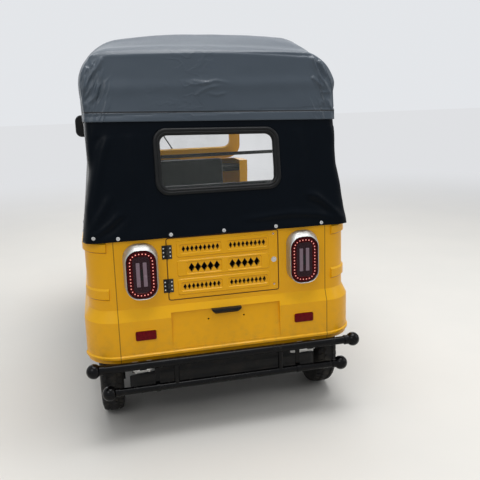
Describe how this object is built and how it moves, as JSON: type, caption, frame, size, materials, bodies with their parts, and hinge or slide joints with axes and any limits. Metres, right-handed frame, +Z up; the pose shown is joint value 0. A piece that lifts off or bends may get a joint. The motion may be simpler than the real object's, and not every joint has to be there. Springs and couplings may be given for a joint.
{
  "type": "auto rickshaw",
  "caption": "Passenger three-wheeler with a yellow steel body, black fabric canopy, vented rear hatch and tubular rear bumper",
  "frame": {"origin": "on the ground below the middle of the vehicle's outline", "axes": "+Y to the front of the vehicle, +X to its right, +Z up"},
  "size_m": [1.4, 2.6492, 1.9088],
  "materials": {
    "yellow_paint": "smooth yellow paint on pressed steel",
    "black_paint": "gloss black paint on steel",
    "steel": "plain and cast steel, slightly dusty",
    "lamp_bezel": "satin silver plated plastic",
    "lamp_lens": "dark smoked red lens",
    "clear_lens": "clear moulded lens",
    "amber_lens": "amber moulded lens",
    "red_reflector": "dark red prismatic plastic",
    "black_plastic": "grained black plastic",
    "window_glass": "clear pane",
    "black_rubber": "extruded black rubber",
    "canopy_sheet": "coated black awning sheet, fine leather grain",
    "seat_cover": "black leatherette with pale piping",
    "tyre": "black road tyre"
  },
  "bodies": {
    "chassis": {"chassis_frame": "black_paint", "floor_pan": "black_paint", "rear_tub": "black_paint", "driver_seat_box": "black_paint", "rear_panel": "yellow_paint", "side_panel_right": "yellow_paint", "side_panel_left": "yellow_paint", "hinge_leaves": "black_paint", "tail_lamp_bezels": "lamp_bezel", "tail_lamp_lenses": "lamp_lens", "rear_reflectors": "red_reflector", "plate_lamp": "black_plastic", "rear_bumper": "black_paint", "rear_axle": "black_paint", "leaf_springs": "steel", "engine_block": "steel", "exhaust_silencer": "steel", "front_cowl": "yellow_paint", "wheel_well": "black_paint", "dashboard": "black_plastic", "head_lamp_bezels": "lamp_bezel", "head_lamp_lenses": "clear_lens", "front_indicators": "amber_lens", "windscreen_frame": "yellow_paint", "windscreen_glass": "window_glass", "wiper": "black_plastic", "mirrors": "black_plastic", "hoop_frame": "black_paint", "canopy": "canopy_sheet", "rear_window_seal": "black_rubber", "rear_window_pane": "window_glass", "passenger_cushion": "seat_cover", "passenger_back": "seat_cover", "driver_cushion": "seat_cover", "driver_back": "seat_cover"},
    "steering": {"front_fork": "black_paint", "handlebar": "black_paint", "front_mudguard": "yellow_paint"},
    "front_wheel": {"front_tyre": "tyre", "front_rim": "steel"},
    "rear_wheel_left": {"rear_tyre_left": "tyre", "rear_rim_left": "steel"},
    "rear_wheel_right": {"rear_tyre_right": "tyre", "rear_rim_right": "steel"},
    "hatch": {"rear_hatch": "yellow_paint", "hatch_hardware": "steel"}
  },
  "joints": [
    {"name": "steering_turn", "type": "hinge", "parent": "chassis", "child": "steering", "pos_m": [0, 1.05, 0.235], "axis": [0, -0.342, 0.9397], "range_deg": [-38, 38]},
    {"name": "front_wheel_spin", "type": "hinge", "parent": "steering", "child": "front_wheel", "pos_m": [0, 1.08, 0.235], "axis": [1, 0, 0], "continuous": true},
    {"name": "rear_wheel_left_spin", "type": "hinge", "parent": "chassis", "child": "rear_wheel_left", "pos_m": [-0.555, -0.92, 0.235], "axis": [1, 0, 0], "continuous": true},
    {"name": "rear_wheel_right_spin", "type": "hinge", "parent": "chassis", "child": "rear_wheel_right", "pos_m": [0.555, -0.92, 0.235], "axis": [1, 0, 0], "continuous": true},
    {"name": "hatch_swing", "type": "hinge", "parent": "chassis", "child": "hatch", "pos_m": [-0.266, -1.2445, 0.8], "axis": [0, 0, -1], "range_deg": [0, 110]}
  ]
}
